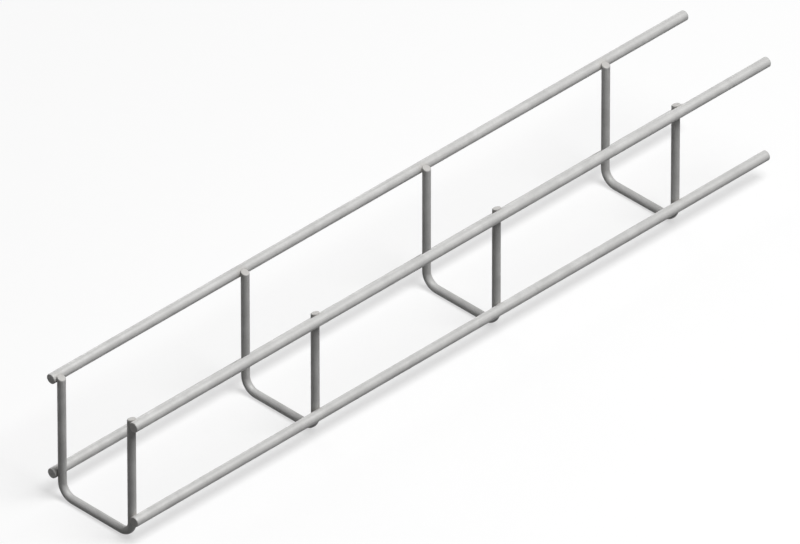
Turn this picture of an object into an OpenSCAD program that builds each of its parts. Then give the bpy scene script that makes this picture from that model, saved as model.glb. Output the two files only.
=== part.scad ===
// Wire mesh cable basket: U-shaped cross wires welded inside four straight long wires.
// X runs along the basket, Y across it and Z up. The origin is the middle of its footprint,
// at the level of the cross wires' undersides.

/* [Basket] */
// Overall width, over the outsides of the long wires
basket_w = 50; // [40:1:150]
// Overall height, from the underside to the top of the rim wires
basket_h = 58; // [40:1:120]
// Distance from one cross wire to the next
pitch = 100; // [50:1:200]
// Number of cross wires
cross_count = 4; // [2:1:8]
// Length of the long wires before the first cross wire's axis
near_stub = 2.5; // [2.5:0.1:60]
// Length of the long wires past the last cross wire's axis
far_stub = 48; // [2.5:0.1:60]

/* [Long wires] */
// Diameter of the long wires
long_d = 4.4; // [3.6:0.1:6]
// Height of the lower long wires' axes above the underside
lower_h = 10.8; // [10.8:0.1:20]

/* [Cross wires] */
// Diameter of the cross wires
cross_d = 3.5; // [2.6:0.1:4]
// Radius on the inside of the two bends
bend_inner_r = 4.2; // [2.5:0.1:4.5]
// Depth of the cut leg ends' outer edges below the top of the rim wires
end_drop = 0.3; // [0.1:0.1:1]
// Slope of the cut leg ends, which fall toward the inside of the basket
end_slope = 18; // [0:1:25]

/* [Welds] */
// Depth that crossing wires are pressed into each other
set_down = 0.45; // [0.2:0.05:0.8]
// Width of the metal squeezed out between the wires, as a share of the cross wires' diameter
weld_share = 0.9; // [0.75:0.05:0.95]

/* [Cut ends] */
// Width of the broken edge round the long wires' ends
end_bevel = 0.3; // [0.1:0.05:0.5]

/* [Hidden] */
$fn = 48;
long_r = long_d / 2;
cross_r = cross_d / 2;
basket_l = near_stub + (cross_count - 1) * pitch + far_stub;

// The long wires' axes
long_y = basket_w / 2 - long_r;
rim_z = basket_h - long_r;

// The cross wires: leg axes, middles of the cut ends and centres of the bends
leg_y = long_y - long_r - cross_r + set_down;
leg_top = basket_h - end_drop - cross_r * tan(end_slope);
bend_r = bend_inner_r + cross_r;
bend_y = leg_y - bend_r;
bend_z = cross_r + bend_r;

// The squeezed-out metal stays clear of the leg's cut end
weld_r = weld_share * cross_r;
weld_top = leg_top - 2 * end_bevel;

STEEL = [0.74, 0.74, 0.72];
SIDES = ["left", "right"];

// Y direction of a named side, seen along +X
function side_y(side) = side == "left" ? 1 : -1;

// X of cross wire i, counted from 1 at the near end
function cross_x(i) = near_stub - basket_l / 2 + (i - 1) * pitch;

// Straight wire standing on the XY plane, cut square, with the edge of its top broken
module cut_rod(r, l) {
    rotate_extrude()
        polygon([[0, 0], [r, 0], [r, l - end_bevel], [r - end_bevel, l], [0, l]]);
}

// One long wire, cut square at both ends of the basket
module long_wire(side, z) {
    color(STEEL)
        translate([0, side_y(side) * long_y, z])
            for (way = [-90, 90])
                rotate([0, way, 0])
                    cut_rod(long_r, basket_l / 2);
}

module rim_wire(side) {
    long_wire(side, rim_z);
}

module lower_wire(side) {
    long_wire(side, lower_h);
}

// Quarter bend from the base run up into the leg on the +Y side
module bend() {
    translate([0, bend_y, bend_z])
        rotate([90, 0, -90])
            rotate_extrude(start = 180, angle = 90)
                translate([bend_r, 0])
                    circle(cross_r);
}

// Straight part of the leg on the +Y side, with its end cut on the slope
module leg_rod() {
    difference() {
        translate([0, leg_y, bend_z])
            cylinder(r = cross_r, h = basket_h - bend_z);
        translate([0, leg_y, leg_top])
            rotate([end_slope, 0, 0])
                translate([-cross_d, -2 * cross_d, 0])
                    cube([2 * cross_d, 4 * cross_d, 2 * cross_d]);
    }
}

// Metal squeezed out between a leg and the long wire at height z, on the +Y side
module weld_metal(z) {
    intersection() {
        translate([0, leg_y, z])
            rotate([-90, 0, 0])
                cylinder(r = weld_r, h = long_y - leg_y);
        translate([-cross_d, 0, 0])
            cube([2 * cross_d, basket_w, weld_top]);
    }
}

// Leg, bend and squeezed-out metal of the +Y half
module leg() {
    leg_rod();
    bend();
    for (z = [lower_h, rim_z])
        weld_metal(z);
}

// Saddles that the long wires lie in
module saddles() {
    for (y = [-long_y, long_y], z = [lower_h, rim_z])
        translate([-cross_d, y, z])
            rotate([0, 90, 0])
                cylinder(r = long_r, h = 2 * cross_d);
}

// One U-shaped cross wire, with a saddle at each of its four welds
module cross_wire(i) {
    color(STEEL)
        translate([cross_x(i), 0, 0])
            difference() {
                union() {
                    translate([0, -bend_y, cross_r])
                        rotate([-90, 0, 0])
                            cylinder(r = cross_r, h = 2 * bend_y);
                    leg();
                    mirror([0, 1, 0])
                        leg();
                }
                saddles();
            }
}

for (side = SIDES) {
    rim_wire(side);
    lower_wire(side);
}
for (i = [1:cross_count]) {
    cross_wire(i);
}
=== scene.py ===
"""Dresses the wire mesh cable basket: drawn wires, bends, cut ends and welds, then a studio and a camera.

Lengths are in metres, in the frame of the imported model: X runs along the basket, Y across it and Z up.
"""

import logging
import math
from dataclasses import dataclass, field
from enum import Enum

import bpy
import numpy as np
from mathutils import Matrix, Vector


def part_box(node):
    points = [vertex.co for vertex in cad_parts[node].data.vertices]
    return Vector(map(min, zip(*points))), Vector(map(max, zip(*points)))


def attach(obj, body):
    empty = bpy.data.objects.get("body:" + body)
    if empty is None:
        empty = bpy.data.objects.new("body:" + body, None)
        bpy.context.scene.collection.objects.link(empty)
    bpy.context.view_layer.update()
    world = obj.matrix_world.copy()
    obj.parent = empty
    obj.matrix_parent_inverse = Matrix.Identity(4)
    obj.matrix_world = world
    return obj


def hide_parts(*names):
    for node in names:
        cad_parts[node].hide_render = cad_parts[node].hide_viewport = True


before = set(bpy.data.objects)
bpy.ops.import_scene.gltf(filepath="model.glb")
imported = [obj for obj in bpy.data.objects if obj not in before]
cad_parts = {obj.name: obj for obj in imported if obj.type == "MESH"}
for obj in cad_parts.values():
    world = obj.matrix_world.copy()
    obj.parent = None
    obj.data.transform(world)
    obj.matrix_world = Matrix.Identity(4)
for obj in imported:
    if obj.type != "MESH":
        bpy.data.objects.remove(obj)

LOG = logging.getLogger("basket")
MM = 0.001
BODY = "root"
WHITE = (1.0, 1.0, 1.0, 1.0)

# Angles, in radians.
QUARTER = math.pi / 2
TURN = 2 * math.pi

# Names of the surface attributes that the finishes read.
STRAIGHTENED = "straightened"
WELD_HEAT = "weld_heat"
CUT_FACE = "cut_face"
BEND_STRAIN = "bend_strain"

# Types of the shader groups' sockets.
NUMBER = "NodeSocketFloat"
COLOUR = "NodeSocketColor"
VECTOR = "NodeSocketVector"

Socket = bpy.types.NodeSocket
Sockets = dict[str, Socket]


class Side(Enum):
    """Side of the basket, seen along +X. The value is the sign of Y."""

    LEFT = 1
    RIGHT = -1


class Tier(Enum):
    """Height at which a long wire runs. The value starts its node's name."""

    RIM = "rim_wire"
    LOWER = "lower_wire"


class Slot(Enum):
    """Material slots of the record."""

    LONG = "long_wire"
    CROSS = "cross_wire"


# ---------------------------------------------------------------------------------------------
# Surfaces
# ---------------------------------------------------------------------------------------------


def linked(name: str, data: bpy.types.ID) -> bpy.types.Object:
    """Makes an object of a mesh, a lamp or a camera.

    Args:
        name: Name of the object.
        data: What it shows.

    Returns:
        The object, at the origin, linked to the scene.
    """
    made = bpy.data.objects.new(name, data)
    bpy.context.scene.collection.objects.link(made)
    return made


@dataclass
class Skin:
    """A closed surface made of rings of points that follow each other along a path.

    Attributes:
        rings: Points, shaped (rings, points of a ring, 3). A ring turns right-handed about the path.
        fields: Named values at each point, shaped (rings, points) or (rings, points, 3).
    """

    rings: np.ndarray
    fields: dict[str, np.ndarray] = field(default_factory=dict)

    def faces(self) -> tuple[np.ndarray, np.ndarray]:
        """Joins the rings with quads, and each end ring to a middle point with triangles.

        Point j of ring i has the number i * points + j. The two middle points come last.

        Returns:
            The quads, shaped (n, 4), and the triangles, shaped (m, 3).
        """
        count, points = self.rings.shape[:2]
        number = np.arange(count * points).reshape(count, points)
        following = np.roll(number, -1, axis=1)
        quads = np.stack([number[:-1], following[:-1], following[1:], number[1:]], axis=-1)
        first = np.full(points, count * points)
        near = np.stack([first, following[0], number[0]], axis=-1)
        far = np.stack([first + 1, number[-1], following[-1]], axis=-1)
        return quads.reshape(-1, 4), np.concatenate([near, far])

    @staticmethod
    def with_middles(values: np.ndarray) -> np.ndarray:
        """Lists values point by point, with the means of the first and the last ring at the end."""
        flat = values.reshape(-1, *values.shape[2:])
        return np.concatenate([flat, [values[0].mean(axis=0)], [values[-1].mean(axis=0)]])

    def piece(self, name: str) -> bpy.types.Object:
        """Makes a smooth object of the surface and stores its fields as attributes.

        Args:
            name: Name of the object and its mesh.

        Returns:
            The object.
        """
        quads, triangles = self.faces()
        mesh = bpy.data.meshes.new(name)
        mesh.from_pydata(self.with_middles(self.rings).tolist(), [], quads.tolist() + triangles.tolist())
        for label, values in self.fields.items():
            kind, key = ("FLOAT_VECTOR", "vector") if values.ndim == 3 else ("FLOAT", "value")
            data = mesh.attributes.new(label, kind, "POINT").data
            data.foreach_set(key, self.with_middles(values).astype(np.float32).ravel())
        mesh.shade_smooth()
        return linked(name, mesh)


def join_pieces(pieces: list[bpy.types.Object]) -> bpy.types.Object:
    """Joins objects into one, attributes included.

    Args:
        pieces: The objects. The first takes up the others.

    Returns:
        The first object.
    """
    with bpy.context.temp_override(
        active_object=pieces[0], object=pieces[0], selected_editable_objects=pieces
    ):
        bpy.ops.object.join()
    return pieces[0]


def bell(distance: np.ndarray, reach: float) -> np.ndarray:
    """Falls smoothly from 1 to 0: e to the power of minus the square of distance over reach."""
    return np.exp(-((distance / reach) ** 2))


def ease(share: np.ndarray) -> np.ndarray:
    """Rises from 0 to 1 with level ends: 3 times the square of the share less 2 times its cube."""
    held = np.clip(share, 0.0, 1.0)
    return held * held * (3.0 - 2.0 * held)


# ---------------------------------------------------------------------------------------------
# Finishes
# ---------------------------------------------------------------------------------------------


class Effect:
    """Base of a shader node group that several materials share. It is built once, on first use.

    Attributes:
        name: Name of the group.
        inputs: Type and default value of each input.
        outputs: Type of each output.
    """

    name = "effect"
    inputs: dict[str, tuple[str, object]] = {}
    outputs: dict[str, str] = {}

    @classmethod
    def tree(cls) -> bpy.types.ShaderNodeTree:
        """Builds the group where it doesn't exist yet.

        Returns:
            The group's node tree.
        """
        held = bpy.data.node_groups.get(cls.name)
        if held is not None:
            return held
        group = bpy.data.node_groups.new(cls.name, "ShaderNodeTree")
        for label, (kind, value) in cls.inputs.items():
            socket = group.interface.new_socket(label, in_out="INPUT", socket_type=kind)
            if value is not None:
                socket.default_value = value
        for label, kind in cls.outputs.items():
            group.interface.new_socket(label, in_out="OUTPUT", socket_type=kind)
        nodes = Nodes(group)
        results = cls.wire(nodes, nodes.add("NodeGroupInput").outputs)
        end = nodes.add("NodeGroupOutput")
        for label, socket in results.items():
            nodes.feed(end.inputs[label], socket)
        return group

    @classmethod
    def wire(cls, nodes: "Nodes", given: Sockets) -> Sockets:
        """Adds the group's own nodes. Each effect has its own."""
        raise NotImplementedError


@dataclass
class Nodes:
    """Adds and links shader nodes in one tree.

    Attributes:
        tree: The material's, world's or group's node tree.
    """

    tree: bpy.types.NodeTree

    @classmethod
    def emptied(cls, holder: bpy.types.Material | bpy.types.World) -> "Nodes":
        """Empties the node tree of a material or a world.

        Args:
            holder: The material or world.

        Returns:
            Its nodes.
        """
        holder.use_nodes = True
        holder.node_tree.nodes.clear()
        return cls(holder.node_tree)

    def add(self, kind: str, settings: dict[str, object] | None = None, **inputs: object) -> bpy.types.Node:
        """Adds a node, sets its properties, and links or sets its inputs.

        Args:
            kind: The node's type, such as ShaderNodeMath.
            settings: Property names and values.
            **inputs: Input names, with underscores for spaces, or i0, i1 and so on for their places.
                A socket is linked and any other value is set.

        Returns:
            The node.
        """
        node = self.tree.nodes.new(kind)
        for label, value in (settings or {}).items():
            setattr(node, label, value)
        for label, value in inputs.items():
            place = int(label[1:]) if label[0] == "i" and label[1:].isdigit() else label.replace("_", " ")
            self.feed(node.inputs[place], value)
        return node

    def feed(self, socket: Socket, value: object) -> None:
        """Links or sets an input.

        Args:
            socket: The input.
            value: A socket to link it to, or a value.
        """
        if isinstance(value, Socket):
            self.tree.links.new(value, socket)
        else:
            socket.default_value = value

    def math(self, operation: str, first: object, second: object = 0.0, clamp: bool = False) -> Socket:
        """Adds a Math node and returns its result."""
        settings = {"operation": operation, "use_clamp": clamp}
        return self.add("ShaderNodeMath", settings, i0=first, i1=second).outputs[0]

    def weighted(self, start: object, *parts: tuple[Socket, float]) -> Socket:
        """Adds some values, each times its weight.

        Args:
            start: What the first of them is added to.
            *parts: Each value and its weight.

        Returns:
            The sum.
        """
        for value, weight in parts:
            start = self.math("ADD", start, self.math("MULTIPLY", value, weight))
        return start

    def noise(self, place: Socket, scale: object, detail: float, distortion: float = 0.0) -> Socket:
        """Adds a Noise Texture and returns its value, from 0 to 1."""
        inputs = {"Vector": place, "Scale": scale, "Detail": detail, "Distortion": distortion}
        return self.add("ShaderNodeTexNoise", **inputs).outputs["Fac"]

    def blend(self, share: object, first: object, second: object) -> Socket:
        """Mixes two colours by a share from 0 to 1 and returns the result."""
        return self.add("ShaderNodeMix", {"data_type": "RGBA"}, i0=share, i6=first, i7=second).outputs[2]

    def remap(self, value: object, low: float, high: float, start: float = 0.0, end: float = 1.0) -> Socket:
        """Carries a value from one range to another, held within it, with a smooth step."""
        inputs = {"i0": value, "i1": low, "i2": high, "i3": start, "i4": end}
        return self.add("ShaderNodeMapRange", {"interpolation_type": "SMOOTHSTEP"}, **inputs).outputs[0]

    def effect(self, kind: type[Effect], **inputs: object) -> Sockets:
        """Places a shared effect with its own input values, and returns its outputs."""
        return self.add("ShaderNodeGroup", {"node_tree": kind.tree()}, **inputs).outputs

    def attribute(self, name: str, output: str = "Fac") -> Socket:
        """Reads an attribute of the surface."""
        return self.add("ShaderNodeAttribute", {"attribute_name": name}).outputs[output]


class DieLines(Effect):
    """Fine lines that the drawing die leaves along a wire: streaks of two widths.

    Noise is read at the straightened wire's own coordinates, with the distance along it divided by
    Stretch, so that each speck becomes a long streak that follows the bends.

    Attributes:
        wide_scale: Number of wide streaks, as a share of the fine ones'.
        wide_share: Share of the wide streaks in the whole.
        edges: Noise at which the mask is 0 and 1.
    """

    name = "die_lines"
    inputs = {
        "Place": (VECTOR, None),
        "Lines per metre": (NUMBER, 3600.0),
        "Stretch": (NUMBER, 90.0),
        "Depth": (NUMBER, 1.0),
    }
    outputs = {"Mask": NUMBER, "Height": NUMBER}
    wide_scale = 0.22
    wide_share = 0.35
    edges = (0.38, 0.62)

    @classmethod
    def wire(cls, nodes: Nodes, given: Sockets) -> Sockets:
        """Stretches the noise along the wire and adds its two widths.

        Args:
            nodes: The group's nodes.
            given: The group's inputs.

        Returns:
            The group's outputs.
        """
        along = nodes.math("DIVIDE", 1.0, given["Stretch"])
        shape = nodes.add("ShaderNodeCombineXYZ", X=1.0, Y=1.0, Z=along).outputs[0]
        stretched = nodes.add("ShaderNodeVectorMath", {"operation": "MULTIPLY"}, i0=given["Place"], i1=shape)
        place, scale = stretched.outputs[0], given["Lines per metre"]
        fine = nodes.noise(place, scale, detail=2.0)
        wide = nodes.noise(place, nodes.math("MULTIPLY", scale, cls.wide_scale), detail=1.0)
        both = nodes.weighted(nodes.math("MULTIPLY", fine, 1.0 - cls.wide_share), (wide, cls.wide_share))
        return {
            "Mask": nodes.remap(both, *cls.edges),
            "Height": nodes.math("MULTIPLY", both, given["Depth"]),
        }


class ZincBloom(Effect):
    """Cloudy variation of a thin zinc plating: broad soft clouds with finer flecks on them.

    Attributes:
        fleck_scale: Number of flecks for each cloud along a line.
        fleck_share: Share of the flecks in the whole.
        mean: Mean of the noise.
        pull: How many times further from its mean the noise goes at a Contrast of 1.
    """

    name = "zinc_bloom"
    inputs = {"Place": (VECTOR, None), "Clouds per metre": (NUMBER, 130.0), "Contrast": (NUMBER, 1.0)}
    outputs = {"Mask": NUMBER, "Flecks": NUMBER}
    fleck_scale = 11.0
    fleck_share = 0.3
    mean = 0.5
    pull = 3.0

    @classmethod
    def wire(cls, nodes: Nodes, given: Sockets) -> Sockets:
        """Adds two sizes of noise and pulls them away from their mean.

        Args:
            nodes: The group's nodes.
            given: The group's inputs.

        Returns:
            The group's outputs.
        """
        place, scale = given["Place"], given["Clouds per metre"]
        broad = nodes.noise(place, scale, detail=3.0, distortion=0.6)
        flecks = nodes.noise(place, nodes.math("MULTIPLY", scale, cls.fleck_scale), detail=2.0)
        both = nodes.weighted(nodes.math("MULTIPLY", broad, 1.0 - cls.fleck_share), (flecks, cls.fleck_share))
        pull = nodes.math("MULTIPLY", given["Contrast"], cls.pull)
        pulled = nodes.math("MULTIPLY", nodes.math("SUBTRACT", both, cls.mean), pull)
        return {"Mask": nodes.math("ADD", pulled, cls.mean, clamp=True), "Flecks": flecks}


class WeldTint(Effect):
    """Dull, slightly warm ring that the welding heat leaves in the zinc.

    Attributes:
        raggedness: How far the speckle moves the ring's edge.
        edges: Heat at which the mask is 0 and 1.
    """

    name = "weld_tint"
    inputs = {
        "Colour": (COLOUR, (0.5, 0.5, 0.5, 1.0)),
        "Heat": (NUMBER, 0.0),
        "Speckle": (NUMBER, 0.5),
        "Tint": (COLOUR, (0.42, 0.39, 0.35, 1.0)),
        "Strength": (NUMBER, 0.35),
    }
    outputs = {"Colour": COLOUR, "Mask": NUMBER}
    raggedness = 0.5
    edges = (0.45, 1.2)

    @classmethod
    def wire(cls, nodes: Nodes, given: Sockets) -> Sockets:
        """Breaks up the heat's edge with the speckle, then mixes the tint in.

        Args:
            nodes: The group's nodes.
            given: The group's inputs.

        Returns:
            The group's outputs.
        """
        mask = nodes.remap(nodes.weighted(given["Heat"], (given["Speckle"], cls.raggedness)), *cls.edges)
        share = nodes.math("MULTIPLY", mask, given["Strength"], clamp=True)
        return {"Colour": nodes.blend(share, given["Colour"], given["Tint"]), "Mask": mask}


class ShearedFace(Effect):
    """Bare, grainy cut face of a wire.

    Attributes:
        grains: Grains for each metre.
        grain_colour: Colour that the grains are darkened towards.
        grain_share: Strength of the darkening.
        edges: Cut at which the mask is 0 and 1.
    """

    name = "sheared_face"
    inputs = {
        "Colour": (COLOUR, (0.5, 0.5, 0.5, 1.0)),
        "Place": (VECTOR, None),
        "Cut": (NUMBER, 0.0),
        "Bare steel": (COLOUR, (0.6, 0.59, 0.57, 1.0)),
    }
    outputs = {"Colour": COLOUR, "Mask": NUMBER, "Height": NUMBER}
    grains = 3500.0
    grain_colour = (0.3, 0.29, 0.28, 1.0)
    grain_share = 0.5
    edges = (0.35, 0.75)

    @classmethod
    def wire(cls, nodes: Nodes, given: Sockets) -> Sockets:
        """Darkens and roughens the bare steel with fine noise, within the mask of the cut.

        Args:
            nodes: The group's nodes.
            given: The group's inputs.

        Returns:
            The group's outputs.
        """
        mask = nodes.remap(given["Cut"], *cls.edges)
        grain = nodes.noise(given["Place"], cls.grains, detail=3.0)
        darkened = nodes.math("MULTIPLY", grain, cls.grain_share)
        steel = nodes.blend(darkened, given["Bare steel"], cls.grain_colour)
        return {
            "Colour": nodes.blend(mask, given["Colour"], steel),
            "Mask": mask,
            "Height": nodes.math("MULTIPLY", grain, mask),
        }


@dataclass(frozen=True)
class ZincPlatedWire:
    """Finish of drawn steel wire with a thin bright zinc plating.

    Attributes:
        name: Name of the material.
        light: Colour of the clean plating.
        dull: Colour of the plating's cloudy patches.
        roughness: Roughness of the clean plating.
        cloud_contrast: Strength of the cloudy patches, about 1.
        metallic: Share of the surface that mirrors as metal.
        line_depth: Depth of the die lines.
        line_contrast: Strength with which the die lines are dulled, from 0 to 1.
        strain_contrast: Strength with which the bends' outsides are dulled, from 0 to 1.
        rougher: What the cloudy patches, the weld rings and the die lines add to the roughness.
        fleck_relief: Height of the plating's flecks, for a height of 1 of the die lines.
        grain_relief: Height of the cut faces' grain, in the same measure.
    """

    name: str
    light: tuple[float, float, float]
    dull: tuple[float, float, float]
    roughness: float
    cloud_contrast: float
    metallic: float = 0.06
    line_depth: float = 0.02 * MM
    line_contrast: float = 0.55
    strain_contrast: float = 0.3
    rougher: tuple[float, float, float] = (0.1, 0.16, 0.05)
    fleck_relief: float = 0.6
    grain_relief: float = 4.0

    def material(self) -> bpy.types.Material:
        """Builds the material where it doesn't exist yet.

        Clouds come first, then die lines, stretched bends, weld rings and the bare cut faces.

        Returns:
            The material.
        """
        held = bpy.data.materials.get(self.name)
        if held is not None:
            return held
        made = bpy.data.materials.new(self.name)
        nodes = Nodes.emptied(made)
        dull = (*self.dull, 1.0)
        place = nodes.add("ShaderNodeTexCoord").outputs["Object"]
        lines = nodes.effect(DieLines, Place=nodes.attribute(STRAIGHTENED, "Vector"))
        bloom = nodes.effect(ZincBloom, Place=place, Contrast=self.cloud_contrast)
        cloudy = nodes.blend(bloom["Mask"], (*self.light, 1.0), dull)
        lined = nodes.blend(nodes.math("MULTIPLY", lines["Mask"], self.line_contrast), cloudy, dull)
        strain = nodes.math("MULTIPLY", nodes.attribute(BEND_STRAIN), self.strain_contrast, clamp=True)
        bent = nodes.blend(strain, lined, dull)
        welded = nodes.effect(WeldTint, Colour=bent, Heat=nodes.attribute(WELD_HEAT), Speckle=bloom["Flecks"])
        faced = nodes.effect(ShearedFace, Colour=welded["Colour"], Place=place, Cut=nodes.attribute(CUT_FACE))
        masks = (bloom["Mask"], welded["Mask"], lines["Mask"])
        rough = nodes.weighted(self.roughness, *zip(masks, self.rougher))
        finer = ((bloom["Flecks"], self.fleck_relief), (faced["Height"], self.grain_relief))
        relief = nodes.weighted(lines["Height"], *finer)
        bump = nodes.add("ShaderNodeBump", Strength=1.0, Distance=self.line_depth, Height=relief)
        shader = nodes.add(
            "ShaderNodeBsdfPrincipled",
            Base_Color=faced["Colour"],
            Roughness=rough,
            Metallic=self.metallic,
            Normal=bump.outputs["Normal"],
        )
        nodes.add("ShaderNodeOutputMaterial", Surface=shader.outputs["BSDF"])
        return made


LONG_FINISH = ZincPlatedWire(
    name="zinc_plated_long_wire",
    light=(0.64, 0.638, 0.627),
    dull=(0.5, 0.498, 0.489),
    roughness=0.42,
    cloud_contrast=1.0,
)
CROSS_FINISH = ZincPlatedWire(
    name="zinc_plated_cross_wire",
    light=(0.62, 0.618, 0.607),
    dull=(0.48, 0.478, 0.469),
    roughness=0.45,
    cloud_contrast=1.1,
)


# ---------------------------------------------------------------------------------------------
# Wires
# ---------------------------------------------------------------------------------------------


@dataclass(frozen=True)
class Crossing:
    """One weld between a cross wire's leg and a long wire.

    Attributes:
        x: Place of the cross wire along the basket.
        side: Side of the basket.
        z: Height of the long wire's axis.
        leg_y: Distance of the leg's axis from the middle plane.
        leg_r: Radius of the cross wire.
        long_y: Distance of the long wire's axis from the middle plane.
        long_r: Radius of the long wire.
        ceiling: Height that the squeezed-out metal stays under.
        heat_reach: Distance from the contact at which the plating's heat has fallen to 1 over e.
    """

    x: float
    side: Side
    z: float
    leg_y: float
    leg_r: float
    long_y: float
    long_r: float
    ceiling: float
    heat_reach: float = 3.2 * MM

    def centre(self) -> np.ndarray:
        """Returns the middle of the contact, half way between the two wires' facing surfaces."""
        meeting = (self.leg_y + self.leg_r + self.long_y - self.long_r) / 2
        return np.array([self.x, self.side.value * meeting, self.z])

    def heat(self, points: np.ndarray) -> np.ndarray:
        """Gives how hot points were while this weld was made, from 0 to 1."""
        return bell(np.linalg.norm(points - self.centre(), axis=-1), self.heat_reach)


@dataclass(frozen=True)
class CutEnd:
    """Sheared end of a wire: a rolled-over edge, then a face that is burnished on one side only.

    Attributes:
        roll: Distance over which the edge rolls over.
        lip: How far the rolled edge draws in from the wire's radius.
        edge_share: How far the last ring of the edge counts as face, from 0 to 1.
        steps: Steps of the edge, and of the face to its middle.
        shear: Direction of the blade's stroke across the face, as an angle round the wire.
        dip: Depth of the broken part of the face below its burnished part.
        lean: Lean of the whole face against the stroke, as a share of the dip.
        break_at: Middle of the step down to the broken part, from -1 to 1 along the stroke.
        steepness: Steepness of the step between the two parts.
        broken: Least depth of the broken part and the height of its waves, as shares of the dip.
        waves: Angle that each of the two waves turns through over one radius along and beside the stroke.
        slope: Rise of the cut for each unit outward across the wire.
        run_out: Distance from the end at which the slope's shear of the surface has died away.
    """

    roll: float = 0.42 * MM
    lip: float = 0.3 * MM
    edge_share: float = 0.75
    steps: int = 6
    shear: float = 0.0
    dip: float = 0.07 * MM
    lean: float = 0.12
    break_at: float = -0.15
    steepness: float = 2.5
    broken: tuple[float, float] = (0.5, 0.38)
    waves: tuple[tuple[float, float], tuple[float, float]] = ((9.0, 4.0), (-5.0, 7.0))
    slope: float = 0.0
    run_out: float = 4.5 * MM

    def stations(self, radius: float) -> tuple[np.ndarray, np.ndarray, np.ndarray]:
        """Lists the rings of the end, from the wire's side to the middle of its face.

        The rolled edge is a quarter of an ellipse; the face's rings then shrink evenly.

        Args:
            radius: The wire's radius.

        Returns:
            For each ring its distance back from the cut plane, its radius as a share of the wire's, and how
            far it lies on the face, from 0 to 1.
        """
        count = self.steps + 1
        turn = np.linspace(0.0, QUARTER, count)
        back = self.roll * (1.0 - np.sin(turn))
        edge = 1.0 - (self.lip / radius) * (1.0 - np.cos(turn))
        face = edge[-1] * np.linspace(1.0, 0.0, count)[1:-1]
        on_face = np.concatenate([np.linspace(0.0, self.edge_share, count), np.ones(len(face))])
        return np.concatenate([back, np.zeros(len(face))]), np.concatenate([edge, face]), on_face

    def relief(self, share: np.ndarray, angle: np.ndarray) -> np.ndarray:
        """Gives how far points of the face lie below the cut plane.

        A smooth step along the stroke divides the two parts. The lower one is roughened by a half, plus a
        quarter each of a sine and a cosine.

        Args:
            share: Distance from the wire's axis as a share of its radius.
            angle: Angle round the wire.

        Returns:
            Depths, in metres.
        """
        along = share * np.cos(angle - self.shear)
        beside = share * np.sin(angle - self.shear)
        lower = ease(0.5 - self.steepness * (along - self.break_at))
        first, second = (a * along + b * beside for a, b in self.waves)
        waves = 0.5 + 0.25 * np.sin(first) + 0.25 * np.cos(second)
        least, height = self.broken
        return self.dip * (self.lean * (1.0 - along) + lower * (least + height * waves))

    def rise(self, outward: np.ndarray, from_end: np.ndarray) -> np.ndarray:
        """Gives how far points move toward the end so that the cut slopes.

        The move is the slope times the distance outward, and falls evenly to nothing at the run-out.

        Args:
            outward: Distance of points from the wire's axis in its first direction.
            from_end: Distance of their ring from the nearer end.

        Returns:
            Distances, in metres.
        """
        return self.slope * outward * np.clip(1.0 - from_end / self.run_out, 0.0, 1.0)


@dataclass(frozen=True)
class ElectrodeMark:
    """Faint flat that a welding electrode leaves on the side that it presses.

    Attributes:
        depth: Depth of the flat at the weld.
        reach: Distance along the wire at which the depth has fallen to 1 over e.
        end: Distance along the wire past which nothing is pressed.
        kept: Share that is left of what stood proud of the flat.
    """

    depth: float = 0.1 * MM
    reach: float = 2.4 * MM
    end: float = 8 * MM
    kept: float = 0.2

    def press(
        self, points: np.ndarray, radius: float, axis_y: float, outward: float, away: np.ndarray
    ) -> np.ndarray:
        """Flattens one side of a wire at one weld.

        The flat stands from the axis at the radius less the depth, which fades as a bell along the wire.

        Args:
            points: Points of the wire.
            radius: Its radius.
            axis_y: Y of its axis at the weld.
            outward: Sign of Y in which the pressed side faces.
            away: Distance of each point from the weld, along the wire.

        Returns:
            The moved points.
        """
        proud = (points[..., 1] - axis_y) * outward
        flat = radius - self.depth * bell(away, self.reach)
        pressed = np.where(proud > flat, flat + self.kept * (proud - flat), proud)
        moved = points.copy()
        moved[..., 1] = np.where(away < self.end, axis_y + outward * pressed, points[..., 1])
        return moved


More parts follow.
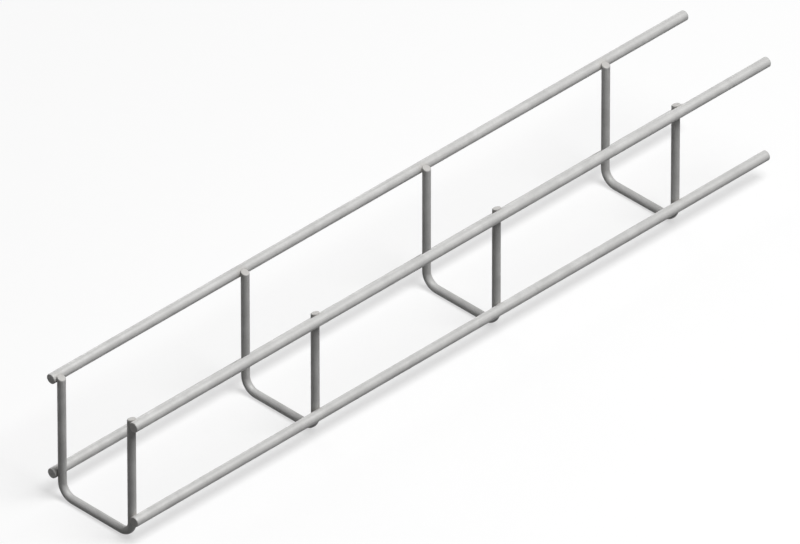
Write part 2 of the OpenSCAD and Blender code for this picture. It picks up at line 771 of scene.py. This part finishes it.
@dataclass
class Wire:
    """A round wire swept along a path, with both ends cut. Long and cross wires add their own path.

    Attributes:
        radius: Radius of the wire.
        length: Length along the path.
        crossings: Welds that this wire has.
        end: Shape of the cut ends.
        mark: Flats that the electrodes left.
        sides: Points in each ring.
        coarse: Distance between rings on plain stretches.
        fine: Distance between rings near a weld or on a bend.
        near_weld: Distance from a weld within which the rings are fine.
        end_gap: Distance from the cut plane within which only the end has rings, in rolls.
        digits: Decimal places, in metres, that tell two rings apart.
    """

    radius: float
    length: float
    crossings: list[Crossing]
    end: CutEnd = field(default_factory=CutEnd)
    mark: ElectrodeMark = field(default_factory=ElectrodeMark)
    sides: int = 40
    coarse: float = 2.5 * MM
    fine: float = 0.4 * MM
    near_weld: float = 6 * MM
    end_gap: float = 1.2
    digits: int = 6

    def busy_stretches(self) -> list[tuple[float, float]]:
        """Lists the stretches along the path, as first and last distances, that need fine rings."""
        raise NotImplementedError

    def path(self, along: np.ndarray) -> tuple[np.ndarray, np.ndarray, np.ndarray]:
        """Gives points on the axis, and two directions across it that turn right-handed about the path."""
        raise NotImplementedError

    def shaped(self, along: np.ndarray, angle: np.ndarray) -> np.ndarray:
        """Gives the radii of the section in its two directions, shaped (rings, points, 2)."""
        return np.broadcast_to(np.array([self.radius, self.radius]), (len(along), len(angle), 2))

    def pressed(self, points: np.ndarray) -> np.ndarray:
        """Moves points for what the welding does to the wire."""
        return points

    def strain(self, along: np.ndarray, angle: np.ndarray) -> np.ndarray:
        """Gives how far the plating is stretched, from 0 to 1."""
        return np.zeros((len(along), len(angle)))

    def rings_along(self) -> tuple[np.ndarray, np.ndarray, np.ndarray]:
        """Lists every ring of the wire, from one cut face to the other.

        Returns:
            For each ring its distance along the path, its share of the radius, and how far it lies on a face.
        """
        back, edge, on_face = self.end.stations(self.radius)
        inner = self.length - 2 * self.end.roll
        plain = self.end.roll + np.linspace(0.0, inner, round(inner / self.coarse) + 1)[1:-1]
        stretches = self.busy_stretches()
        busy = [np.linspace(low, high, round((high - low) / self.fine) + 1) for low, high in stretches]
        middle = np.unique(np.round(np.concatenate([plain, *busy]), self.digits))
        gap = self.end.roll * self.end_gap
        middle = middle[(middle > gap) & (middle < self.length - gap)]
        along = np.concatenate([back[::-1], middle, self.length - back])
        share = np.concatenate([edge[::-1], np.ones(len(middle)), edge])
        return along, share, np.concatenate([on_face[::-1], np.zeros(len(middle)), on_face])

    def skin(self) -> Skin:
        """Sweeps the section along the path.

        A point is the axis point, plus each of the two directions times its radius times the cosine or the
        sine of the angle. Near the ends it then moves along the wire, by the cut's slope less its relief.

        Returns:
            The wire's surface, with the fields that its finish reads.
        """
        along, share, on_face = self.rings_along()
        angle = np.linspace(0.0, TURN, self.sides, endpoint=False)
        axis, first, second = (each[:, None, :] for each in self.path(along))
        radii = self.shaped(along, angle) * share[:, None, None]
        swing = np.stack([np.cos(angle), np.sin(angle)], axis=-1) * radii
        inward = np.where(along < self.length / 2, 1.0, -1.0)[:, None]
        from_end = np.minimum(along, self.length - along)[:, None]
        sunk = on_face[:, None] * self.end.relief(share[:, None], angle[None, :])
        moved = inward * (sunk - self.end.rise(swing[..., 0], from_end))
        points = axis + swing[..., :1] * first + swing[..., 1:] * second
        points = points + np.cross(first, second) * moved[..., None]
        heat = np.max([crossing.heat(points) for crossing in self.crossings], axis=0)
        straightened = np.stack([swing[..., 0], swing[..., 1], along[:, None] + moved], axis=-1)
        return Skin(
            self.pressed(points),
            {
                STRAIGHTENED: straightened,
                WELD_HEAT: heat,
                CUT_FACE: np.broadcast_to(on_face[:, None], points.shape[:2]),
                BEND_STRAIN: self.strain(along, angle),
            },
        )


@dataclass
class LongWire(Wire):
    """A straight wire that runs the whole length of the basket, outside the cross wires.

    Attributes:
        x: Where the wire starts along the basket.
        y: Y of its axis.
        z: Height of its axis.
    """

    x: float = 0.0
    y: float = 0.0
    z: float = 0.0

    def busy_stretches(self) -> list[tuple[float, float]]:
        """Lists the stretch round each weld."""
        places = [crossing.x - self.x for crossing in self.crossings]
        return [(place - self.near_weld, place + self.near_weld) for place in places]

    def path(self, along: np.ndarray) -> tuple[np.ndarray, np.ndarray, np.ndarray]:
        """Runs straight along +X. Y, then Z, turn right-handed about it.

        Args:
            along: Distances along the wire.

        Returns:
            Points on the axis, and the two directions across it.
        """
        none = np.zeros(len(along))
        axis = np.stack([self.x + along, none + self.y, none + self.z], axis=-1)
        return axis, np.stack([none, none + 1.0, none], axis=-1), np.stack([none, none, none + 1.0], axis=-1)

    def pressed(self, points: np.ndarray) -> np.ndarray:
        """Marks the outer side at each weld.

        Args:
            points: Points of the wire.

        Returns:
            The moved points.
        """
        for crossing in self.crossings:
            away = np.abs(points[..., 0] - crossing.x)
            points = self.mark.press(points, self.radius, self.y, crossing.side.value, away)
        return points


@dataclass
class CrossWire(Wire):
    """A U-bent wire: a leg down on the left, a bend, the base run, a bend and a leg up on the right.

    Attributes:
        coarse: Distance between rings on plain stretches.
        near_weld: Distance from a weld within which the rings are fine.
        near_bend: Distance from a bend within which the rings are fine.
        x: Place along the basket.
        leg_y: Distance of the legs' axes from the middle plane.
        top: Height of the middles of the cut ends.
        bend_r: Radius of the bends, at the wire's axis.
        squeeze: How much flatter the section is in the middle of a bend, as a share of the radius.
        seat: How far the saddles reach into the long wires.
    """

    coarse: float = 1.5 * MM
    near_weld: float = 5 * MM
    near_bend: float = 1 * MM
    x: float = 0.0
    leg_y: float = 0.0
    top: float = 0.0
    bend_r: float = 0.0
    squeeze: float = 0.03
    seat: float = 0.03 * MM

    @property
    def leg(self) -> float:
        """Length of a leg above its bend."""
        return self.top - self.radius - self.bend_r

    @property
    def arc(self) -> float:
        """Length of a bend along the wire's axis."""
        return self.bend_r * QUARTER

    @property
    def base(self) -> float:
        """Length of the straight base run."""
        return 2 * (self.leg_y - self.bend_r)

    @staticmethod
    def unrolled(radius: float, leg_y: float, top: float, bend_r: float) -> float:
        """Gives the length of the whole wire along its axis: two legs, two quarter turns and the base run."""
        return 2 * (top - radius - bend_r) + math.pi * bend_r + 2 * (leg_y - bend_r)

    def turned(self, along: np.ndarray) -> np.ndarray:
        """Gives the angle that the wire has turned through so far, from 0 to half a turn.

        Args:
            along: Distances along the wire.

        Returns:
            The angles, which grow evenly along each bend.
        """
        first = np.clip((along - self.leg) / self.arc, 0.0, 1.0)
        second = np.clip((along - self.leg - self.arc - self.base) / self.arc, 0.0, 1.0)
        return (first + second) * QUARTER

    def bent(self, along: np.ndarray) -> np.ndarray:
        """Gives how far a place lies in a bend, from 0 to 1: the squared sine of twice the turned angle."""
        return np.sin(2 * self.turned(along)) ** 2

    def busy_stretches(self) -> list[tuple[float, float]]:
        """Lists the bends and the stretches round the welds.

        Returns:
            The first and the last distance of each stretch.
        """
        starts = (self.leg, self.leg + self.arc + self.base)
        bends = [(start - self.near_bend, start + self.arc + self.near_bend) for start in starts]
        drops = [(self.top - crossing.z, crossing.side) for crossing in self.crossings]
        places = [drop if side is Side.LEFT else self.length - drop for drop, side in drops]
        return bends + [(place - self.near_weld, place + self.near_weld) for place in places]

    def path(self, along: np.ndarray) -> tuple[np.ndarray, np.ndarray, np.ndarray]:
        """Runs round the U in the plane across the basket.

        In a bend, Y changes with the cosine of the turned angle and Z with its sine, times the bend's
        radius. The first direction points out of the U and the second along +X.

        Args:
            along: Distances along the wire.

        Returns:
            Points on the axis, and the two directions across it.
        """
        angle = self.turned(along)
        early, late = np.minimum(angle, QUARTER), np.maximum(angle, QUARTER)
        fallen = np.clip(along, 0.0, self.leg)
        run = np.clip(along - self.leg - self.arc, 0.0, self.base)
        risen = np.clip(along - (self.length - self.leg), 0.0, self.leg)
        y = self.leg_y - self.bend_r * (1.0 - np.cos(early)) - run + self.bend_r * np.cos(late)
        z = self.top - fallen - self.bend_r * (np.sin(early) + np.sin(late) - 1.0) + risen
        none = np.zeros(len(along))
        outward = np.stack([none, np.cos(angle), -np.sin(angle)], axis=-1)
        return np.stack([none + self.x, y, z], axis=-1), outward, np.stack([none + 1.0, none, none], axis=-1)

    def shaped(self, along: np.ndarray, angle: np.ndarray) -> np.ndarray:
        """Flattens the section in the bends, and widens it by half as much.

        Args:
            along: Distances along the wire.
            angle: Angles round the wire.

        Returns:
            The radii out of the U and along +X, shaped (rings, points, 2).
        """
        flatter = self.bent(along) * self.squeeze
        radii = np.stack([self.radius * (1.0 - flatter), self.radius * (1.0 + flatter / 2)], axis=-1)
        return np.broadcast_to(radii[:, None, :], (len(along), len(angle), 2))

    def strain(self, along: np.ndarray, angle: np.ndarray) -> np.ndarray:
        """Gives how far the plating is stretched: by the cosine of the angle, on the outside of the bends."""
        return self.bent(along)[:, None] * np.clip(np.cos(angle), 0.0, 1.0)[None, :]

    def pressed(self, points: np.ndarray) -> np.ndarray:
        """Marks the inner side of the leg at each weld, and presses the outer side round the long wire.

        Args:
            points: Points of the wire.

        Returns:
            The moved points.
        """
        for crossing in self.crossings:
            sign = crossing.side.value
            on_leg = (points[..., 1] * sign > 0) & (points[..., 2] > self.radius + self.bend_r)
            away = np.where(on_leg, np.abs(points[..., 2] - crossing.z), np.inf)
            points = self.mark.press(points, self.radius, sign * self.leg_y, -sign, away)
            points = self.saddle(points, crossing, on_leg)
        return points

    def saddle(self, points: np.ndarray, crossing: Crossing, on_leg: np.ndarray) -> np.ndarray:
        """Cuts the saddle that the long wire lies in.

        Across the basket, a point goes no further out than the long wire's near side: its axis less the
        root of radius squared less height squared, plus a little so that the two surfaces don't fight.

        Args:
            points: Points of the wire.
            crossing: The weld.
            on_leg: Which points are on the leg that has the weld.

        Returns:
            The moved points.
        """
        up = points[..., 2] - crossing.z
        bulge = np.sqrt(np.maximum(crossing.long_r**2 - up**2, 0.0))
        limit = crossing.long_y - bulge + self.seat
        beside = on_leg & (np.abs(up) < crossing.long_r)
        out = np.minimum(np.abs(points[..., 1]), limit)
        moved = points.copy()
        moved[..., 1] = np.where(beside, crossing.side.value * out, points[..., 1])
        return moved


@dataclass
class WeldBead:
    """Metal squeezed out round one weld: a hollow-sided collar between the two wires.

    Attributes:
        crossing: The weld.
        seed: Number that turns the collar's waves, so that no two collars are alike.
        share: Reach of the collar as a share of the leg's radius.
        waist: How far the collar draws in half way, as a share of its reach.
        sunk: Depth of its edges inside the wires.
        waves: Height, number of crests and turn for each seed, of each wave round the collar.
        points: Points in each ring.
        rings: Rings from one wire to the other.
        hidden: Reach of the closing rings inside the wires, as a share of the collar's.
    """

    crossing: Crossing
    seed: int = 0
    share: float = 0.9
    waist: float = 0.1
    sunk: float = 0.08 * MM
    waves: tuple[tuple[float, int, float], ...] = ((0.03, 3, 2.4), (0.02, 7, 1.7))
    points: int = 44
    rings: int = 11
    hidden: float = 0.55

    def reach(self, angle: np.ndarray) -> np.ndarray:
        """Gives the collar's reach from the weld's middle.

        It is a circle whose upper half is pressed to half an ellipse under the ceiling, times 1 plus the
        waves round it.

        Args:
            angle: Angles round the weld, from straight up.

        Returns:
            The reach at each angle.
        """
        radius = self.share * self.crossing.leg_r
        above = min(radius, self.crossing.ceiling - self.crossing.z)
        tall = np.where(np.cos(angle) > 0.0, above, radius)
        oval = 1.0 / np.hypot(np.cos(angle) / tall, np.sin(angle) / radius)
        bumps = sum(height * np.sin(crests * angle + turn * self.seed) for height, crests, turn in self.waves)
        return oval * (1.0 + bumps)

    def skin(self) -> Skin:
        """Carries a ring from the leg's surface to the long wire's.

        Half way its reach is least, by a parabola. Its distance across the basket goes evenly from one
        wire's surface to the other's, each the axis and the root of radius squared less offset squared. The
        first and last rings lie inside the wires.

        Returns:
            The collar's surface, with the fields that its finish reads.
        """
        crossing = self.crossing
        sign = crossing.side.value
        angle = np.linspace(0.0, TURN, self.points, endpoint=False)
        share = np.concatenate([[0.0], np.linspace(0.0, 1.0, self.rings), [1.0]])[:, None]
        closing = np.array([self.hidden] + [1.0] * self.rings + [self.hidden])[:, None]
        span = self.reach(angle)[None, :] * closing * (1.0 - self.waist * 4 * share * (1.0 - share))
        up = span * np.cos(angle)
        along = span * np.sin(angle) * sign
        leg = crossing.leg_y + np.sqrt(np.maximum(crossing.leg_r**2 - along**2, 0.0)) - self.sunk
        rail = crossing.long_y - np.sqrt(np.maximum(crossing.long_r**2 - up**2, 0.0)) + self.sunk
        across = leg + (rail - leg) * share
        points = np.stack([crossing.x + along, sign * across, crossing.z + up], axis=-1)
        flat = np.zeros(points.shape[:2])
        return Skin(
            points,
            {STRAIGHTENED: points, WELD_HEAT: flat + 1.0, CUT_FACE: flat, BEND_STRAIN: flat},
        )


# ---------------------------------------------------------------------------------------------
# The basket
# ---------------------------------------------------------------------------------------------


@dataclass
class Basket:
    """All the wires of the basket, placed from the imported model's boxes.

    Attributes:
        set_down: Depth that crossing wires are pressed into each other.
        bend_inner_r: Radius on the inside of the bends.
        end_slope: Slope of the legs' cut ends, in degrees, rising toward the outside.
        clear_of_end: Distance that the squeezed-out metal stays below the middle of a leg's cut end.
        stroke: Direction of the blade's stroke over the long wires' ends, as an angle round the wire.
        stroke_turn: How far that direction is turned, one way on the left and the other on the right.
    """

    set_down: float = 0.45 * MM
    bend_inner_r: float = 4.2 * MM
    end_slope: float = 18.0
    clear_of_end: float = 0.6 * MM
    stroke: float = 0.6
    stroke_turn: float = 0.5

    @staticmethod
    def cross_names() -> list[str]:
        """Lists the cross wires' nodes, from the near end to the far end."""
        return sorted(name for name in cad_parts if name.startswith(Slot.CROSS.value))

    @staticmethod
    def long_name(tier: Tier, side: Side) -> str:
        """Gives the node of a long wire."""
        return f"{tier.value}_{side.name.lower()}"

    @property
    def rise(self) -> float:
        """Rise of the legs' cut ends for each unit outward."""
        return math.tan(math.radians(self.end_slope))

    def leg_top(self, node: str) -> float:
        """Gives the height of the middle of a leg's cut end, from that of its outer edge."""
        low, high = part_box(node)
        return high.z - self.rise * (high.x - low.x) / 2

    def crossings(self) -> list[Crossing]:
        """Lists every weld: each cross wire has one with each long wire.

        Returns:
            The welds, in the order of the cross wires.
        """
        names = self.cross_names()
        return [self.crossing(name, tier, side) for name in names for side in Side for tier in Tier]

    def crossing(self, node: str, tier: Tier, side: Side) -> Crossing:
        """Places one weld.

        Args:
            node: The cross wire's node.
            tier: Height of the long wire.
            side: Side of the basket.

        Returns:
            The weld.
        """
        leg_low, leg_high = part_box(node)
        low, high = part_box(self.long_name(tier, side))
        leg_r, long_r = (leg_high.x - leg_low.x) / 2, (high.z - low.z) / 2
        long_y = abs(low.y + high.y) / 2
        return Crossing(
            x=(leg_low.x + leg_high.x) / 2,
            side=side,
            z=(low.z + high.z) / 2,
            leg_y=long_y - long_r - leg_r + self.set_down,
            leg_r=leg_r,
            long_y=long_y,
            long_r=long_r,
            ceiling=self.leg_top(node) - self.clear_of_end,
        )

    def long_wire(self, tier: Tier, side: Side, crossings: list[Crossing]) -> bpy.types.Object:
        """Builds and dresses one long wire.

        Args:
            tier: Height of the wire.
            side: Side of the basket.
            crossings: All welds of the basket.

        Returns:
            The wire's piece.
        """
        node = self.long_name(tier, side)
        low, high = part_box(node)
        y, z = (low.y + high.y) / 2, (low.z + high.z) / 2
        wire = LongWire(
            radius=(high.z - low.z) / 2,
            length=high.x - low.x,
            crossings=[c for c in crossings if c.side is side and abs(c.z - z) < MM],
            end=CutEnd(shear=self.stroke + side.value * self.stroke_turn),
            x=low.x,
            y=y,
            z=z,
        )
        return self.dressed(wire.skin().piece(f"drawn_{node}"), node, Slot.LONG, LONG_FINISH)

    def cross_wire(self, node: str, crossings: list[Crossing]) -> bpy.types.Object:
        """Builds and dresses one cross wire with its weld metal.

        Args:
            node: The cross wire's node.
            crossings: All welds of the basket.

        Returns:
            The wire's piece.
        """
        low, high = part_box(node)
        x, top = (low.x + high.x) / 2, self.leg_top(node)
        mine = [c for c in crossings if abs(c.x - x) < MM]
        leg_r, leg_y = mine[0].leg_r, mine[0].leg_y
        bend_r = self.bend_inner_r + leg_r
        wire = CrossWire(
            radius=leg_r,
            length=CrossWire.unrolled(leg_r, leg_y, top, bend_r),
            crossings=mine,
            end=CutEnd(shear=math.pi, slope=self.rise),
            x=x,
            leg_y=leg_y,
            top=top,
            bend_r=bend_r,
        )
        beads = [WeldBead(c, crossings.index(c)).skin().piece(f"bead_{n}") for n, c in enumerate(mine)]
        piece = join_pieces([wire.skin().piece(f"bent_{node}"), *beads])
        return self.dressed(piece, node, Slot.CROSS, CROSS_FINISH)

    @staticmethod
    def dressed(piece: bpy.types.Object, node: str, slot: Slot, finish: ZincPlatedWire) -> bpy.types.Object:
        """Gives a piece its finish and its place in the frame.

        Args:
            piece: The piece.
            node: The CAD node that it stands for.
            slot: The record's slot that the piece belongs to; not used.
            finish: Its finish.

        Returns:
            The piece.
        """
        piece.data.materials.clear()
        piece.data.materials.append(finish.material())
        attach(piece, BODY)
        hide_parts(node)
        LOG.info("%s: %d faces, finish %s", piece.name, len(piece.data.polygons), finish.name)
        return piece

    def build(self) -> list[bpy.types.Object]:
        """Builds every wire.

        Returns:
            The pieces, the long wires first.
        """
        crossings = self.crossings()
        long_wires = [self.long_wire(tier, side, crossings) for tier in Tier for side in Side]
        return long_wires + [self.cross_wire(name, crossings) for name in self.cross_names()]


# ---------------------------------------------------------------------------------------------
# Studio
# ---------------------------------------------------------------------------------------------


def looking_at(aim: Vector, back: Vector, distance: float) -> Matrix:
    """Gives the place of a lamp or a camera, which look along their own -Z."""
    turned = back.to_track_quat("Z", "Y").to_matrix().to_4x4()
    return Matrix.Translation(aim + back * distance) @ turned


@dataclass(frozen=True)
class SoftLamp:
    """A square area lamp that looks at the middle of the basket.

    Attributes:
        name: Name of the lamp.
        towards: Direction from the basket to the lamp.
        level: Brightness that it gives a white surface that faces it, where 1 is white.
        distance: Distance from the basket.
        size: Length of a side.
    """

    name: str
    towards: tuple[float, float, float]
    level: float
    distance: float = 2.0
    size: float = 1.1

    def build(self, aim: Vector) -> bpy.types.Object:
        """Makes the lamp.

        A small lamp of P watts lights a white surface at distance d to P over the square of pi times d.

        Args:
            aim: Point that the lamp looks at.

        Returns:
            The lamp.
        """
        data = bpy.data.lights.new(self.name, "AREA")
        data.shape = "SQUARE"
        data.size = self.size
        data.energy = self.level * (math.pi * self.distance) ** 2
        lamp = linked(self.name, data)
        lamp.matrix_world = looking_at(aim, Vector(self.towards).normalized(), self.distance)
        LOG.info("lamp %s at level %.2f", self.name, self.level)
        return lamp


@dataclass(frozen=True)
class Studio:
    """Pale floor, white surroundings, soft lamps and a long-lens camera.

    Attributes:
        floor_half: Half the length of the floor's sides.
        fibres: Number of paper fibres along a side of the floor.
        fibre_shade: Colour of the fibres.
        floor_glow: Share of white that the floor shows by itself, so that its shadows stay pale.
        floor_fade: Distances from the middle between which the floor turns all white.
        floor_bounce: Colour with which the floor lights the basket from below.
        surround: Level at which the surroundings light the basket.
        azimuth: Direction that the camera looks from, as degrees from -Y towards +X.
        elevation: Height of the camera above the horizon, in degrees.
        lens: Focal length in millimetres, long so that parallel wires stay parallel.
        clip_end: Furthest distance that the camera sees.
        frame_width: Width of what the camera sees at the basket.
        aim: Point in the middle of the camera's view.
        lamps: The lamps.
    """

    floor_half: float = 4.0
    fibres: float = 900.0
    fibre_shade: float = 0.985
    floor_glow: float = 0.6
    floor_fade: tuple[float, float] = (0.25, 0.9)
    floor_bounce: float = 0.04
    surround: float = 0.04
    azimuth: float = -45.0
    elevation: float = math.degrees(math.atan(math.sqrt(0.5)))
    lens: float = 1100.0
    clip_end: float = 100.0
    frame_width: float = 313.05 * MM
    aim: tuple[float, float, float] = (-1.99 * MM, 4.79 * MM, 29.0 * MM)
    lamps: tuple[SoftLamp, ...] = (
        SoftLamp("overhead_softbox", (0.10, -0.37, 0.92), level=1.08),
        SoftLamp("back_softbox", (0.35, 0.92, 0.15), level=0.3),
    )

    @staticmethod
    def seen_by_eye(nodes: Nodes) -> Socket:
        """Finds the rays that come from the camera, straight, by a mirror or through glass.

        Args:
            nodes: The nodes of a material or world.

        Returns:
            1 for such a ray and 0 for any other.
        """
        rays = nodes.add("ShaderNodeLightPath").outputs
        either = nodes.math("MAXIMUM", rays["Is Camera Ray"], rays["Is Glossy Ray"])
        return nodes.math("MAXIMUM", either, rays["Is Transmission Ray"])

    def floor_material(self) -> bpy.types.Material:
        """Makes white paper that keeps shadows when looked at, and gives little light back to the basket.

        Away from the basket it turns into an even white, so that its far edge doesn't show.

        Returns:
            The material.
        """
        made = bpy.data.materials.new("pale_floor")
        nodes = Nodes.emptied(made)
        fibres = nodes.add("ShaderNodeTexNoise", Scale=self.fibres, Detail=3.0).outputs["Fac"]
        shade, bounce = ((level, level, level, 1.0) for level in (self.fibre_shade, self.floor_bounce))
        lit = nodes.add("ShaderNodeBsdfDiffuse", Color=nodes.blend(fibres, WHITE, shade)).outputs[0]
        glow = nodes.add("ShaderNodeEmission", Color=WHITE, Strength=1.0).outputs[0]
        place = nodes.add("ShaderNodeTexCoord").outputs["Object"]
        away = nodes.add("ShaderNodeVectorMath", {"operation": "LENGTH"}, i0=place).outputs["Value"]
        share = nodes.remap(away, *self.floor_fade, self.floor_glow, 1.0)
        shown = nodes.add("ShaderNodeMixShader", i0=share, i1=lit, i2=glow).outputs[0]
        given = nodes.add("ShaderNodeBsdfDiffuse", Color=bounce).outputs[0]
        both = nodes.add("ShaderNodeMixShader", i0=self.seen_by_eye(nodes), i1=given, i2=shown)
        nodes.add("ShaderNodeOutputMaterial", Surface=both.outputs[0])
        return made

    def floor(self) -> bpy.types.Object:
        """Makes the floor, level with the undersides of the cross wires.

        Returns:
            The floor.
        """
        edge = self.floor_half
        corners = [(-edge, -edge, 0), (edge, -edge, 0), (edge, edge, 0), (-edge, edge, 0)]
        mesh = bpy.data.meshes.new("floor")
        mesh.from_pydata(corners, [], [(0, 1, 2, 3)])
        mesh.materials.append(self.floor_material())
        made = linked("floor", mesh)
        return made

    def surroundings(self) -> None:
        """Makes white where the camera or a mirror looks, and a low even light for everything else."""
        world = bpy.data.worlds.new("surroundings")
        nodes = Nodes.emptied(world)
        level = nodes.math("MAXIMUM", self.seen_by_eye(nodes), self.surround)
        back = nodes.add("ShaderNodeBackground", Color=WHITE, Strength=level)
        nodes.add("ShaderNodeOutputWorld", Surface=back.outputs[0])
        bpy.context.scene.world = world

    def camera(self) -> bpy.types.Object:
        """Makes the camera. Its distance is the frame's width times the lens over the sensor's width.

        Returns:
            The camera.
        """
        data = bpy.data.cameras.new("camera")
        data.lens = self.lens
        data.clip_end = self.clip_end
        turn, rise = math.radians(self.azimuth), math.radians(self.elevation)
        back = Vector((math.sin(turn) * math.cos(rise), -math.cos(turn) * math.cos(rise), math.sin(rise)))
        distance = self.frame_width * self.lens / data.sensor_width
        made = linked("camera", data)
        made.matrix_world = looking_at(Vector(self.aim), back, distance)
        bpy.context.scene.camera = made
        return made

    def build(self) -> None:
        """Sets up the whole studio."""
        self.camera()
        self.floor()
        self.surroundings()
        for lamp in self.lamps:
            lamp.build(Vector(self.aim))
        bpy.context.scene.view_settings.view_transform = "Standard"
        LOG.info("studio ready")


def main() -> None:
    """Builds the studio and the basket."""
    logging.basicConfig(level=logging.INFO, format="%(name)s: %(message)s")
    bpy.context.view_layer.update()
    Studio().build()
    pieces = Basket().build()
    LOG.info("%d pieces", len(pieces))


if __name__ == "__main__":
    main()
